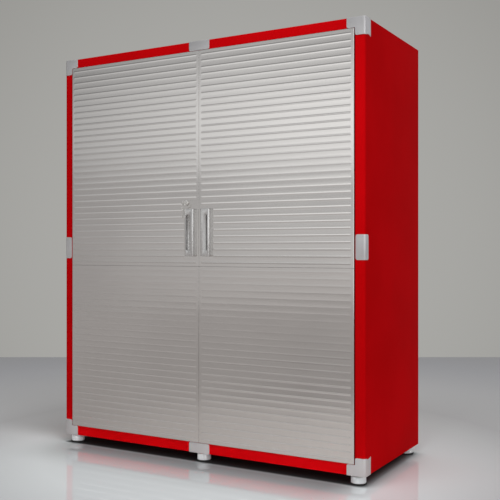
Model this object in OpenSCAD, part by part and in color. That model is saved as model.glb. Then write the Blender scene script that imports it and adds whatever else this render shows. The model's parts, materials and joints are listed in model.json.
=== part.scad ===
// Two-door steel storage cabinet: a flat-pack shell of folded sheet with ribbed steel doors.
// Millimetres, +Z up, +Y to the back, origin on the floor under the middle of the whole.

/* [Shell] */
// Width over the side panels
cab_w = 1524; // [1200:1:1830]
// Height of the top sheet above the floor
cab_h = 1810; // [1600:1:2000]
// Depth from the front frame to the rear flanges
cab_d = 632; // [450:1:700]
// Thickness of the shell's sheet
sheet = 1.2; // [0.8:0.1:1.6]
// Thickness of the back panels
back_t = 0.8; // [0.6:0.1:1.5]
// Width of each front stile
stile_w = 42; // [32:1:60]
// Height of the top rail
top_rail_h = 39; // [30:1:60]
// Height of the bottom rail
bottom_rail_h = 42; // [40:1:70]
// Radius of the bends at the front corners
corner_r = 10; // [4:0.5:16]
// Depth of the jamb lip behind each stile
jamb_d = 20; // [12:1:30]
// Width of the flanges round the back
rear_flange = 25; // [18:1:32]
// Depth of the lip behind each rail
rail_lip = 30; // [27:1:45]
// Height where the upper and lower halves of the shell meet
joint_z = 923; // [800:1:1050]
// Width of the flanges where two back panels meet
back_flange = 12; // [8:1:20]
// Width of the plate at the partition's front edge
front_plate_w = 80; // [60:1:90]

/* [Doors] */
// Thickness of a door
door_t = 24; // [20:0.5:28]
// How far a door stands in front of the frame
door_proud = 4; // [1:0.5:5]
// Gap between a door and its stile
door_side_gap = 3; // [3:0.1:6]
// Gap between the two doors
door_mid_gap = 2; // [2:0.5:8]
// Gap above and below a door
door_end_gap = 2; // [1.6:0.1:4]
// Gap between a closed door and the partition's front plate
door_back_gap = 4; // [3:0.5:6]
// Height of the seam between the two skins of a door
seam_z = 841; // [760:1:860]
// Width of that seam
seam_gap = 0.6; // [0.4:0.1:1]
// Thickness of a door skin
skin_t = 1; // [0.8:0.1:1.1]
// Thickness of a door liner
liner_t = 1; // [0.8:0.1:1.5]
// Radius of a door's upright front edges
door_edge_r = 2; // [1.5:0.5:4]

/* [Ribs] */
// Distance from rib to rib
rib_pitch = 27.9; // [20:0.1:40]
// Width of a rib at its foot
rib_w = 6.5; // [5:0.5:10]
// Height of a rib
rib_h = 0.8; // [0.5:0.1:1.2]
// Distance from a rib's end to the door's edge
rib_end = 15; // [10:1:30]
// Least distance from a rib to a skin's level edge
rib_margin = 12; // [10:1:20]
// Distance from a shortened rib to the handle or the lock
rib_clear = 8; // [4:1:20]

/* [Hinges] */
// Radius of a hinge pin
pin_r = 3; // [2:0.25:3]
// Running clearance of every pin, plug and stem
run_fit = 0.05; // [0.02:0.01:0.08]
// Distance from a hinge axis to the door's outer edge
hinge_inset = 18; // [18:0.5:26]
// Distance from a hinge axis to the frame's front
hinge_back = 6.5; // [6.5:0.1:7]
// Wall of a hinge bush
bush_wall = 1.5; // [1:0.1:1.7]
// Length of a hinge bush
bush_l = 12; // [8:0.5:16]
// Thickness of a hinge bush's flange
bush_flange_t = 1.2; // [0.8:0.1:1.4]
// Width of that flange round the bush
bush_flange_w = 1.5; // [1:0.1:1.7]
// How far a hinge pin reaches past the door's end
pin_reach = 10; // [7:0.5:12]
// Radius of a hinge pin's head inside the door
pin_head_r = 7; // [5:0.5:8]
// Thickness of that head
pin_head_t = 3; // [2:0.5:5]

/* [Handles] */
// Width of a handle
handle_w = 45; // [40:0.5:52]
// Height of a handle
handle_h = 205; // [180:1:230]
// Depth of a handle
handle_d = 18; // [16:0.5:20]
// Height of a handle's middle
handle_z = 987; // [960:1:1000]
// Distance from a handle to the door's inner edge
handle_inset = 17; // [12:0.5:20]
// Radius of a handle's upright edges
handle_edge_r = 6; // [3:0.5:8]
// Radius of a handle's corners in the front view
handle_corner_r = 7; // [4:0.5:10]
// Width of the finger slot
slot_w = 22; // [18:0.5:24]
// Height of the finger slot
slot_h = 157; // [140:1:165]
// Width of the deep part of the finger slot, along its outer side
grip_w = 10; // [9:0.25:12]
// Depth of the finger slot in that part
slot_d = 13; // [11:0.5:13]
// Depth of the dish that leads to it
dish_d = 4; // [3:0.25:5]
// Width of the lip outside the finger slot
slot_lip = 8; // [7:0.5:10]
// Radius of the undercut behind that lip
undercut_r = 4; // [3:0.25:4.5]
// Distance from a handle's end to its screw
handle_screw_in = 12; // [10:0.5:14]
// Radius of a screw's shank
screw_r = 2; // [1.5:0.1:2.5]
// Radius of a screw's head
screw_head_r = 4.2; // [3.5:0.1:5]
// Height of a screw's head
screw_head_h = 2; // [1.5:0.1:3]
// Depth that a handle screw reaches into its handle
handle_screw_l = 9; // [6:0.5:10]

/* [Lock] */
// Distance from the lock's axis to the middle of the cabinet
lock_x = 65; // [62:0.5:80]
// Height of the lock's axis
lock_z = 1116; // [1112:1:1140]
// Radius of the lock's bezel
bezel_r = 12; // [11:0.5:14]
// Thickness of the bezel
bezel_t = 4; // [2:0.5:6]
// Radius of the lock's housing
lock_r = 9; // [8:0.5:10]
// Distance from the door's face to the back of the housing
lock_l = 33; // [33:0.5:40]
// Radius of the plug
plug_r = 5.5; // [5:0.25:6.5]
// Thickness of the lock's nut
nut_t = 3; // [2:0.5:4]
// Distance across the flats of that nut
nut_flats = 24; // [22:0.5:28]
// Gap between the housing and the cam
cam_gap = 0.3; // [0.2:0.1:0.6]
// Thickness of the cam
cam_t = 2; // [1.5:0.5:3]
// Width of the cam
cam_w = 16; // [12:0.5:18]
// Length of the cam from the lock's axis
cam_l = 38; // [34:0.5:45]
// Thickness of a key
key_t = 2; // [1.5:0.1:2.5]
// Width of a key's blade
blade_w = 7; // [6:0.25:8]
// Length of a key's blade
blade_l = 24; // [20:0.5:28]
// Clearance of the key in its slot
key_fit = 0.1; // [0.05:0.05:0.2]
// Distance from the bezel to a key's bow
bow_gap = 5; // [3:0.5:8]
// Radius of a key's bow
bow_r = 10; // [9:0.5:11]
// Distance from the bow's centre to its hole
bow_hole_off = 6; // [5:0.5:6.5]
// Radius of the bow's hole
bow_hole_r = 2.2; // [2:0.1:2.6]
// Radius of the key ring, to the middle of its wire
ring_r = 9; // [8:0.5:12]
// Radius of the key ring's wire
wire_r = 0.8; // [0.6:0.1:1]
// Gap between the hanging ring and the holes it hangs in
hang_gap = 0.3; // [0.2:0.05:0.4]

/* [Shelves] */
// Height of a shelf's folded edges
shelf_edge = 25; // [18:1:35]
// Distance from a shelf's front to the frame's front
shelf_front = 52; // [48:1:70]
// Gap between a shelf and what stands beside it
shelf_gap = 1; // [0.5:0.1:2]
// Width of a slotted upright
upright_w = 24; // [20:1:30]
// Depth of a slotted upright
upright_d = 10; // [8:0.5:14]
// Distance from the front uprights to the frame's front
upright_front = 90; // [80:1:140]
// Distance from the rear uprights to the rear flanges
upright_rear = 70; // [50:1:120]
// Distance from slot to slot
slot_pitch = 50; // [40:1:60]
// Height of the lowest slot above the deck
slot_first = 60; // [40:1:80]
// Height of a slot
hole_h = 14; // [12:0.5:18]
// Width of a slot
hole_w = 6; // [5:0.5:8]
// Slots that carry the shelves, counted from the deck
shelf_slots = [7, 15, 23];
// Length of a shelf clip's ledge
clip_l = 12; // [8:0.5:16]
// Width of a shelf clip
clip_w = 18; // [12:0.5:20]
// Thickness of a shelf clip
clip_t = 1.5; // [1:0.1:2]
// Height of a shelf clip
clip_h = 18; // [14:0.5:22]
// Length of a clip's tongue in its slot
tongue_l = 5; // [3:0.5:6]
// Clearance of a tongue in its slot
tongue_fit = 0.3; // [0.2:0.1:0.6]
// Width of a magnetic catch
catch_w = 26; // [20:1:30]
// Height of a magnetic catch
catch_h = 60; // [40:1:80]
// Gap between a catch and the closed door
catch_gap = 0.3; // [0.2:0.1:0.5]
// Heights of the magnetic catches
catch_z = [420, 1480];

/* [Caps] */
// Thickness of the plastic caps
cap_t = 1.5; // [1:0.25:2]
// Length of a corner cap along its rail
cap_run = 77; // [70:1:110]
// Length of a corner cap along its stile
cap_down = 69; // [60:1:110]
// Length of a corner cap round onto the side
cap_wrap = 54; // [40:1:80]
// Depth of the shallow curve in a corner cap's free edge on the side
cap_dip = 5; // [2:0.5:8]
// Width of the caps' ledges over the top and bottom of the shell
cap_ledge = 16; // [10:1:18]
// Height of a side edge cap
edge_cap_h = 99; // [80:1:140]
// Length of a side edge cap round onto the side
edge_cap_wrap = 30; // [25:1:50]
// Distance from a side edge cap to the inner edge of its stile
edge_cap_in = 2.5; // [1:0.5:5]
// Width of an edge cap on a rail
rail_cap_w = 104; // [80:1:140]
// Radius of the caps' free corners
cap_r = 8; // [4:0.5:10]

/* [Feet] */
// Height of the shell's lower edge above the floor
foot_h = 41; // [36:1:60]
// Distance from the outer feet to the cabinet's sides
foot_in_x = 44; // [40:1:70]
// Distance from a foot's socket to the jamb lip in front of it
foot_clear = 2; // [1:0.5:20]
// Gap between a foot's puck and the shell
puck_gap = 5.5; // [3:0.5:8]
// Radius of a foot's puck at its lower edge
puck_r = 30; // [24:0.5:33]
// Radius of a foot's puck at its upper edge
puck_top_r = 29; // [20:0.5:31]
// Radius of a foot's rubber pad
pad_r = 33; // [26:0.5:36]
// Thickness of a foot's rubber pad
pad_t = 7; // [5:0.5:10]
// Bevel round the puck and the pad
foot_bevel = 2; // [1:0.25:3]
// Radius of a foot's stem
stem_r = 5; // [4:0.25:7]
// Length of a foot's stem in its socket
stem_l = 36; // [30:1:38]
// Radius of a foot's socket
socket_r = 12; // [9:0.5:16]
// Radius of the flange at a socket's top
socket_flange_r = 18; // [17:0.5:22]
// Thickness of that flange
socket_flange_t = 3; // [2:0.5:4]

/* [Hidden] */
$fn = 64;
// Overshoot of cuts past the faces that they open
cut = 1;
// Screws in the rear flange of each side panel
screws_per_panel = 4;

half_w = cab_w / 2;
open_x = half_w - stile_w;
inner_x = half_w - sheet;
deck_z = foot_h + bottom_rail_h;
lintel_z = cab_h - top_rail_h;
part_x = sheet / 2;

hole_reach = bezel_t + bow_gap + bow_r + bow_hole_off;
front_reach = door_proud + max(handle_d, hole_reach + bow_r);
front_y = (front_reach - cab_d - screw_head_h) / 2;
back_y = front_y + cab_d;
back_in = back_y - sheet;
back_face = back_in - back_t;

door_y = front_y - door_proud;
liner_y = door_y + door_t - liner_t;
plate_y = door_y + door_t + door_back_gap;
door_x0 = door_mid_gap / 2;
door_x1 = open_x - door_side_gap;
door_z0 = deck_z + door_end_gap;
door_z1 = lintel_z - door_end_gap;
hinge_x = door_x1 - hinge_inset;
hinge_y = front_y + hinge_back;
bush_r = pin_r + run_fit + bush_wall;

rib_r = (rib_w * rib_w / 4 + rib_h * rib_h) / (2 * rib_h);
handle_x0 = door_x0 + handle_inset;
handle_x1 = handle_x0 + handle_w;
handle_y = door_y - handle_d;
slot_x1 = handle_x1 - slot_lip;
slot_x0 = slot_x1 - slot_w;
handle_screw_x = (handle_x0 + handle_x1) / 2;
handle_screw_z = [for (s = [-1, 1]) handle_z + s * (handle_h / 2 - handle_screw_in)];

cam_y = door_y + lock_l + cam_gap;
bow_y = door_y - bezel_t - bow_gap - bow_r;
hole_y = bow_y - bow_hole_off;
hang = bow_hole_r - wire_r - hang_gap;
ring_z = lock_z - hang - ring_r;
spare_hole_z = ring_z - ring_r - hang;
spare_z = spare_hole_z - bow_hole_off;

shelf_x0 = part_x + upright_d + shelf_gap;
shelf_x1 = inner_x - upright_d - shelf_gap;
shelf_y0 = front_y + shelf_front;
shelf_y1 = back_face - back_flange - shelf_gap;
upright_y = [front_y + upright_front, back_y - upright_rear];
slot_count = floor((lintel_z - deck_z - slot_first - hole_h / 2) / slot_pitch) + 1;
ledge_up = clip_h / 2;

foot_x = half_w - foot_in_x;
foot_in_y = jamb_d + foot_clear + socket_flange_r;
foot_y = [front_y + foot_in_y, back_y - foot_in_y];
puck_z = foot_h - puck_gap;

// Radius of a circle whose chord of cap_span is cap_dip deep
cap_span = cap_wrap - corner_r;
cap_dip_r = (cap_span * cap_span / 4 + cap_dip * cap_dip) / (2 * cap_dip);

red = [0.62, 0.03, 0.04];
steel = [0.78, 0.78, 0.77];
grey = [0.66, 0.65, 0.66];
satin = [0.70, 0.69, 0.69];
zinc = [0.75, 0.75, 0.72];
black = [0.06, 0.06, 0.06];
nylon = [0.90, 0.90, 0.86];
pale = [0.86, 0.87, 0.88];

// Shared shapes

module block(x, y, z) {
    translate([x[0], y[0], z[0]])
        cube([x[1] - x[0], y[1] - y[0], z[1] - z[0]]);
}

module rod_x(x, y, z, r) {
    translate([x[0], y, z])
        rotate([0, 90, 0])
            cylinder(h = x[1] - x[0], r = r);
}

module rod_y(x, y, z, r) {
    translate([x, y[0], z])
        rotate([-90, 0, 0])
            cylinder(h = y[1] - y[0], r = r);
}

module rod_z(x, y, z, r) {
    translate([x, y, z[0]])
        cylinder(h = z[1] - z[0], r = r);
}

module rise(z) {
    translate([0, 0, z[0]])
        linear_extrude(z[1] - z[0])
            children();
}

// Draws a plan given in X and Z, and thickens it along Y
module stand(y) {
    translate([0, y[1], 0])
        rotate([90, 0, 0])
            linear_extrude(y[1] - y[0])
                children();
}

// Draws a plan given in Y and Z, and thickens it along X
module across(x) {
    translate([x[0], 0, 0])
        rotate([90, 0, 90])
            linear_extrude(x[1] - x[0])
                children();
}

module left() {
    mirror([1, 0, 0])
        children();
}

module both() {
    children();
    left()
        children();
}

// Rectangle with all corners round
module round_plan(x, y, r) {
    translate([x[0] + r, y[0]])
        square([x[1] - x[0] - 2 * r, y[1] - y[0]]);
    translate([x[0], y[0] + r])
        square([x[1] - x[0], y[1] - y[0] - 2 * r]);
    for (px = [x[0] + r, x[1] - r])
        for (py = [y[0] + r, y[1] - r])
            translate([px, py])
                circle(r);
}

// Rectangle with its front outer corner round
module corner_plan(x, y, r) {
    translate([x[0], y[0] + r])
        square([x[1] - x[0], y[1] - y[0] - r]);
    translate([x[0], y[0]])
        square([x[1] - x[0] - r, y[1] - y[0]]);
    translate([x[1] - r, y[0] + r])
        circle(r);
}

// Rectangle with both front corners round
module front_plan(x, y, r) {
    translate([x[0], y[0] + r])
        square([x[1] - x[0], y[1] - y[0] - r]);
    translate([x[0] + r, y[0]])
        square([x[1] - x[0] - 2 * r, y[1] - y[0]]);
    for (px = [x[0] + r, x[1] - r])
        translate([px, y[0] + r])
            circle(r);
}

// Shell

function screw_z(z) = [for (i = [0 : screws_per_panel - 1])
    z[0] + (i + 0.5) * (z[1] - z[0]) / screws_per_panel];
lower_z = [deck_z, joint_z];
upper_z = [joint_z, cab_h - sheet];

module back_holes() {
    for (z = concat(screw_z(lower_z), screw_z(upper_z)))
        rod_y(half_w - rear_flange / 2, [back_face - cut, back_y + cut], z, screw_r + run_fit);
}

module side_plan() {
    difference() {
        corner_plan([open_x, half_w], [front_y, back_y], corner_r);
        corner_plan([open_x + sheet, inner_x], [front_y + sheet, back_in], corner_r - sheet);
        translate([open_x - cut, front_y + jamb_d])
            square([stile_w + cut - rear_flange, cab_d]);
    }
}

module side(z) {
    color(red)
        difference() {
            rise(z)
                side_plan();
            back_holes();
        }
}

module bush_hole() {
    rod_z(hinge_x, hinge_y, [deck_z - sheet - cut, deck_z + cut], bush_r + run_fit);
    rod_z(hinge_x, hinge_y, [lintel_z - cut, lintel_z + sheet + cut], bush_r + run_fit);
}

module top_half() {
    color(red)
        difference() {
            union() {
                rise([cab_h - sheet, cab_h])
                    corner_plan([0, half_w], [front_y, back_y], corner_r);
                block([0, open_x], [front_y, front_y + sheet], [lintel_z, cab_h]);
                block([0, open_x], [front_y, front_y + rail_lip], [lintel_z, lintel_z + sheet]);
                block([0, half_w - rear_flange], [back_in, back_y], [lintel_z, cab_h]);
                block([0, sheet], [front_y, back_face], [lintel_z, cab_h]);
            }
            bush_hole();
        }
}

module deck_plan() {
    translate([0, front_y])
        square([open_x, cab_d - sheet]);
    translate([0, front_y + jamb_d])
        square([inner_x, cab_d - sheet - jamb_d]);
}

module bottom_half() {
    joint_y = [foot_y[0] + socket_flange_r, foot_y[1] - socket_flange_r];
    color(red)
        difference() {
            union() {
                rise([deck_z - sheet, deck_z])
                    deck_plan();
                block([0, open_x], [front_y, front_y + sheet], [foot_h, deck_z]);
                block([0, open_x], [front_y, front_y + jamb_d], [foot_h, foot_h + sheet]);
                block([0, half_w - rear_flange], [back_in, back_y], [foot_h, deck_z]);
                block([0, sheet], joint_y, [foot_h, deck_z]);
            }
            bush_hole();
        }
}

module back_panel(z, level_flange) {
    flange_top = min(z[1], lintel_z);
    color(red)
        difference() {
            union() {
                block([part_x, inner_x], [back_face, back_in], z);
                block([part_x, part_x + back_t], [back_face - back_flange, back_in], [z[0], flange_top]);
                block([part_x, inner_x], [back_face - back_flange, back_in], level_flange);
            }
            back_holes();
        }
}

module partition(z) {
    color(red) {
        block([-front_plate_w / 2, front_plate_w / 2], [plate_y, plate_y + sheet], z);
        block([-part_x, part_x], [plate_y, back_in], z);
    }
}

module back_screws() {
    color(zinc)
        both()
            for (z = concat(screw_z(lower_z), screw_z(upper_z))) {
                rod_y(half_w - rear_flange / 2, [back_face, back_y + cut / 2], z, screw_r);
                rod_y(half_w - rear_flange / 2, [back_y, back_y + screw_head_h], z, screw_head_r);
            }
}

// Inside

function slot_z(i) = deck_z + slot_first + i * slot_pitch;
function shelf_z(level) = slot_z(shelf_slots[level]) + ledge_up + shelf_edge;

module shelf(level) {
    z1 = shelf_z(level);
    z0 = z1 - shelf_edge;
    color(red)
        difference() {
            block([shelf_x0, shelf_x1], [shelf_y0, shelf_y1], [z0, z1]);
            block([shelf_x0 + sheet, shelf_x1 - sheet], [shelf_y0 + sheet, shelf_y1 - sheet],
                [z0 - cut, z1 - sheet]);
        }
}

// Channel that stands on the face at x and opens towards it; side is +1 where its face looks to +X
module upright(x, y, side) {
    face = x + side * upright_d;
    outer = side > 0 ? [x, face] : [face, x];
    hollow = side > 0 ? [x - cut, face - sheet] : [face + sheet, x + cut];
    through = side > 0 ? [face - sheet - cut, face + cut] : [face - cut, face + sheet + cut];
    difference() {
        block(outer, [y - upright_w / 2, y + upright_w / 2], [deck_z, lintel_z]);
        block(hollow, [y - upright_w / 2 + sheet, y + upright_w / 2 - sheet], [deck_z - cut, lintel_z + cut]);
        for (i = [0 : slot_count - 1])
            block(through, [y - hole_w / 2, y + hole_w / 2], [slot_z(i) - hole_h / 2, slot_z(i) + hole_h / 2]);
    }
}

module shelf_uprights() {
    color(red)
        both()
            for (y = upright_y) {
                upright(part_x, y, 1);
                upright(inner_x, y, -1);
            }
}

// Clip on the upright face at x, its ledge pointing to +X where side is +1
module clip(x, y, z, side) {
    translate([x, y, z])
        rotate([0, 0, side > 0 ? 0 : 180]) {
            block([0, clip_t], [-clip_w / 2, clip_w / 2], [-clip_h / 2, clip_h / 2]);
            block([0, clip_l], [-clip_w / 2, clip_w / 2], [ledge_up - clip_t, ledge_up]);
            block([-tongue_l, clip_t], [tongue_fit - hole_w / 2, hole_w / 2 - tongue_fit],
                [tongue_fit - hole_h / 2, hole_h / 2 - tongue_fit]);
        }
}

module shelf_clips() {
    color(zinc)
        both()
            for (y = upright_y)
                for (i = shelf_slots) {
                    clip(part_x + upright_d, y, slot_z(i), 1);
                    clip(inner_x - upright_d, y, slot_z(i), -1);
                }
}

module magnetic_catches() {
    margin = (front_plate_w / 2 - catch_w) / 2;
    color(black)
        both()
            for (z = catch_z)
                block([margin, margin + catch_w], [door_y + door_t + catch_gap, plate_y],
                    [z - catch_h / 2, z + catch_h / 2]);
}

// Caps

// Cuts the lower inner corner of a cap's front round
module cap_corner(x, z) {
    difference() {
        block([x - cut, x + cap_r], [front_y - cap_t - cut, front_y + cut], [z - cut, z + cap_r]);
        rod_y(x + cap_r, [front_y - cap_t - 2 * cut, front_y + 2 * cut], z + cap_r, cap_r);
    }
}

// Corner cap whose outer end lies at z = 0, with the shell below it
module corner_cap(rail_h) {
    run_x = half_w - cap_run;
    difference() {
        rise([-cap_down, cap_t])
            corner_plan([run_x, half_w + cap_t], [front_y - cap_t, front_y + cap_wrap], corner_r + cap_t);
        rise([-cap_down - cut, 0])
            corner_plan([run_x - cut, half_w], [front_y, front_y + cap_wrap + cut], corner_r);
        block([run_x - cut, open_x], [front_y - cap_t - cut, front_y + cut], [-cap_down - cut, -rail_h]);
        cap_corner(run_x, -rail_h);
        cap_corner(open_x, -cap_down);
        rod_x([half_w - cut, half_w + cap_t + cut], front_y + corner_r + cap_span / 2,
            cap_dip - cap_down - cap_dip_r, cap_dip_r);
        block([run_x - cut, half_w - cap_ledge], [front_y + cap_ledge, front_y + cap_wrap + cut],
            [-cut, cap_t + cut]);
    }
}

module corner_caps() {
    color(grey)
        both() {
            translate([0, 0, cab_h])
                corner_cap(top_rail_h);
            translate([0, 0, foot_h])
                mirror([0, 0, 1])
                    corner_cap(bottom_rail_h);
        }
}

module side_edge_cap() {
    x = [open_x + edge_cap_in, half_w + cap_t];
    y = [front_y - cap_t, front_y + edge_cap_wrap];
    z = [joint_z - edge_cap_h / 2, joint_z + edge_cap_h / 2];
    intersection() {
        difference() {
            rise(z)
                corner_plan(x, y, corner_r + cap_t);
            rise([z[0] - cut, z[1] + cut])
                corner_plan([open_x, half_w], [front_y, back_y], corner_r);
        }
        across([x[0] - cut, x[1] + cut])
            round_plan([y[0] - cap_r, y[1]], z, cap_r);
        stand([y[0] - cut, y[1] + cut])
            round_plan([x[0], x[1] + cap_r], z, cap_r);
    }
}

// Edge cap in the middle of a rail, whose outer end lies at z = 0
module rail_edge_cap(rail_h) {
    x = [-rail_cap_w / 2, rail_cap_w / 2];
    intersection() {
        difference() {
            block(x, [front_y - cap_t, front_y + cap_ledge], [-rail_h, cap_t]);
            block([x[0] - cut, x[1] + cut], [front_y, back_y], [-rail_h - cut, 0]);
        }
        rise([-rail_h - cut, cap_t + cut])
            round_plan(x, [front_y - cap_ledge, front_y + cap_ledge], cap_r);
        stand([front_y - cap_t - cut, front_y + cap_ledge + cut])
            round_plan(x, [-rail_h, cap_t + cap_r], cap_r);
    }
}

module edge_caps() {
    color(grey) {
        both()
            side_edge_cap();
        translate([0, 0, cab_h])
            rail_edge_cap(top_rail_h);
        translate([0, 0, foot_h])
            mirror([0, 0, 1])
                rail_edge_cap(bottom_rail_h);
    }
}

// Doors

upper_skin_z = [seam_z + seam_gap / 2, door_z1];
lower_skin_z = [door_z0, seam_z - seam_gap / 2];

function rib_count(z) = floor((z[1] - z[0] - 2 * rib_margin) / rib_pitch) + 1;
function rib_z(z, i) = (z[0] + z[1]) / 2 + (i - (rib_count(z) - 1) / 2) * rib_pitch;
function meets(z, middle, reach) = abs(z - middle) < reach + rib_w / 2;
function rib_start(z, with_lock) =
    meets(z, handle_z, handle_h / 2) ? handle_x1 + rib_clear :
    with_lock && meets(z, lock_z, bezel_r) ? lock_x + bezel_r + rib_clear :
    door_x0 + rib_end;

// Round bar with ball ends that stands out of the door's face by the rib's height
module rib(x, z, r) {
    run = x[1] - x[0] - rib_w;
    translate([x[0] + rib_w / 2, door_y + rib_r - rib_h, z])
        rotate([0, 90, 0])
            rotate_extrude()
                intersection() {
                    union() {
                        square([r, run]);
                        circle(r);
                        translate([0, run])
                            circle(r);
                    }
                    translate([0, -r])
                        square([r, run + 2 * r]);
                }
}

module ribs(z, r, with_lock) {
    for (i = [0 : rib_count(z) - 1])
        rib([rib_start(rib_z(z, i), with_lock), door_x1 - rib_end], rib_z(z, i), r);
}

module pin_hole() {
    rod_z(hinge_x, hinge_y, [door_z0 - cut, door_z0 + skin_t + cut], pin_r + run_fit);
    rod_z(hinge_x, hinge_y, [door_z1 - skin_t - cut, door_z1 + cut], pin_r + run_fit);
}

module handle_screw_holes() {
    for (z = handle_screw_z)
        rod_y(handle_screw_x, [door_y - handle_screw_l - cut, door_y + skin_t + cut], z, screw_r + run_fit);
}

module lock_hole() {
    rod_y(lock_x, [door_y - cut, door_y + door_t + cut], lock_z, lock_r + run_fit);
}

// Pan of ribbed sheet, pressed so that each rib is hollow behind
module skin(z, with_lock) {
    color(steel)
        difference() {
            union() {
                rise(z)
                    front_plan([door_x0, door_x1], [door_y, liner_y], door_edge_r);
                ribs(z, rib_r, with_lock);
            }
            rise([z[0] + skin_t, z[1] - skin_t])
                front_plan([door_x0 + skin_t, door_x1 - skin_t], [door_y + skin_t, liner_y + cut],
                    door_edge_r - skin_t);
            ribs(z, rib_r - skin_t, with_lock);
            pin_hole();
            handle_screw_holes();
            if (with_lock)
                lock_hole();
        }
}

module liner(with_lock) {
    color(red)
        difference() {
            block([door_x0, door_x1], [liner_y, liner_y + liner_t], [door_z0, door_z1]);
            if (with_lock)
                lock_hole();
        }
}

module hinge_pins() {
    color(zinc) {
        rod_z(hinge_x, hinge_y, [door_z1 - skin_t - pin_head_t, lintel_z + pin_reach], pin_r);
        rod_z(hinge_x, hinge_y, [door_z1 - skin_t - pin_head_t, door_z1 - skin_t], pin_head_r);
        rod_z(hinge_x, hinge_y, [deck_z - pin_reach, door_z0 + skin_t + pin_head_t], pin_r);
        rod_z(hinge_x, hinge_y, [door_z0 + skin_t, door_z0 + skin_t + pin_head_t], pin_head_r);
    }
}

// Bush whose flange lies on the face at z = 0 and whose tube goes down through it
module bush() {
    difference() {
        union() {
            rod_z(0, 0, [-bush_l, bush_flange_t], bush_r);
            rod_z(0, 0, [0, bush_flange_t], bush_r + bush_flange_w);
        }
        rod_z(0, 0, [-bush_l - cut, bush_flange_t + cut], pin_r + run_fit);
    }
}

module hinge_bushes() {
    color(nylon)
        both() {
            translate([hinge_x, hinge_y, deck_z])
                bush();
            translate([hinge_x, hinge_y, lintel_z])
                mirror([0, 0, 1])
                    bush();
        }
}

// Pull with a ramped finger slot that runs under the lip on its outer side
module handle() {
    z = [handle_z - handle_h / 2, handle_z + handle_h / 2];
    slot_z0 = handle_z - slot_h / 2;
    slot_z1 = handle_z + slot_h / 2;
    color(satin)
        difference() {
            intersection() {
                rise(z)
                    front_plan([handle_x0, handle_x1], [handle_y, door_y], handle_edge_r);
                stand([handle_y - cut, door_y])
                    round_plan([handle_x0, handle_x1], z, handle_corner_r);
            }
            intersection() {
                stand([handle_y - cut, door_y])
                    round_plan([slot_x0, slot_x1], [slot_z0, slot_z1], slot_w / 2 - cut);
                rise([slot_z0, slot_z1])
                    polygon([
                        [slot_x0, handle_y - cut],
                        [slot_x1, handle_y - cut],
                        [slot_x1, handle_y + slot_d],
                        [slot_x1 - grip_w, handle_y + slot_d],
                        [slot_x1 - grip_w, handle_y + dish_d],
                        [slot_x0, handle_y]
                    ]);
            }
            rod_z(slot_x1 - cut, handle_y + slot_d - undercut_r,
                [slot_z0 + slot_w / 2, slot_z1 - slot_w / 2], undercut_r);
            handle_screw_holes();
        }
}

module handle_screws() {
    color(zinc)
        for (z = handle_screw_z) {
            rod_y(handle_screw_x, [door_y - handle_screw_l, door_y + skin_t + cut], z, screw_r);
            rod_y(handle_screw_x, [door_y + skin_t, door_y + skin_t + screw_head_h], z, screw_head_r);
        }
}

// Lock

module lock_housing() {
    color(zinc)
        difference() {
            union() {
                rod_y(lock_x, [door_y - bezel_t, door_y], lock_z, bezel_r);
                rod_y(lock_x, [door_y - cut, door_y + lock_l], lock_z, lock_r);
            }
            rod_y(lock_x, [door_y - bezel_t - cut, door_y + lock_l + cut], lock_z, plug_r + run_fit);
        }
}

module lock_nut() {
    y = [door_y + door_t, door_y + door_t + nut_t];
    color(zinc)
        difference() {
            translate([lock_x, y[0], lock_z])
                rotate([-90, 0, 0])
                    cylinder(h = nut_t, d = nut_flats / cos(30), $fn = 6);
            rod_y(lock_x, [y[0] - cut, y[1] + cut], lock_z, lock_r + run_fit);
        }
}

module lock_plug() {
    color(zinc)
        difference() {
            rod_y(lock_x, [door_y - bezel_t, cam_y], lock_z, plug_r);
            block([lock_x - key_t / 2 - key_fit, lock_x + key_t / 2 + key_fit],
                [door_y - bezel_t - cut, door_y - bezel_t + blade_l + cut],
                [lock_z - blade_w / 2 - key_fit, lock_z + blade_w / 2 + key_fit]);
        }
}

// Flat tongue that stands upright while the lock is open
module lock_cam() {
    color(zinc)
        stand([cam_y, cam_y + cam_t])
            round_plan([lock_x - cam_w / 2, lock_x + cam_w / 2], [lock_z - cam_w / 2, lock_z + cam_l],
                cam_w / 2 - cut);
}

module key() {
    color(zinc)
        difference() {
            union() {
                rod_x([lock_x - key_t / 2, lock_x + key_t / 2], bow_y, lock_z, bow_r);
                block([lock_x - key_t / 2, lock_x + key_t / 2], [bow_y, door_y - bezel_t + blade_l],
                    [lock_z - blade_w / 2, lock_z + blade_w / 2]);
            }
            rod_x([lock_x - key_t, lock_x + key_t], hole_y, lock_z, bow_hole_r);
        }
}

module key_ring() {
    color(zinc)
        translate([lock_x, hole_y, ring_z])
            rotate([90, 0, 0])
                rotate_extrude()
                    translate([ring_r, 0])
                        circle(wire_r);
}

module spare_key() {
    color(zinc)
        difference() {
            union() {
                rod_x([lock_x - key_t / 2, lock_x + key_t / 2], hole_y, spare_z, bow_r);
                block([lock_x - key_t / 2, lock_x + key_t / 2], [hole_y - blade_w / 2, hole_y + blade_w / 2],
                    [spare_z - bow_r - bow_gap - blade_l, spare_z]);
            }
            rod_x([lock_x - key_t, lock_x + key_t], hole_y, spare_hole_z, bow_hole_r);
        }
}

// Feet

// Puck with its stem, standing on the pad's top
module foot(x, y) {
    color(pale)
        translate([x, y, 0]) {
            rotate_extrude()
                polygon([
                    [0, pad_t],
                    [puck_r, pad_t],
                    [puck_r, pad_t + foot_bevel],
                    [puck_top_r, puck_z - foot_bevel],
                    [puck_top_r - foot_bevel, puck_z],
                    [0, puck_z]
                ]);
            rod_z(0, 0, [puck_z - cut, foot_h + stem_l], stem_r);
        }
}

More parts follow.
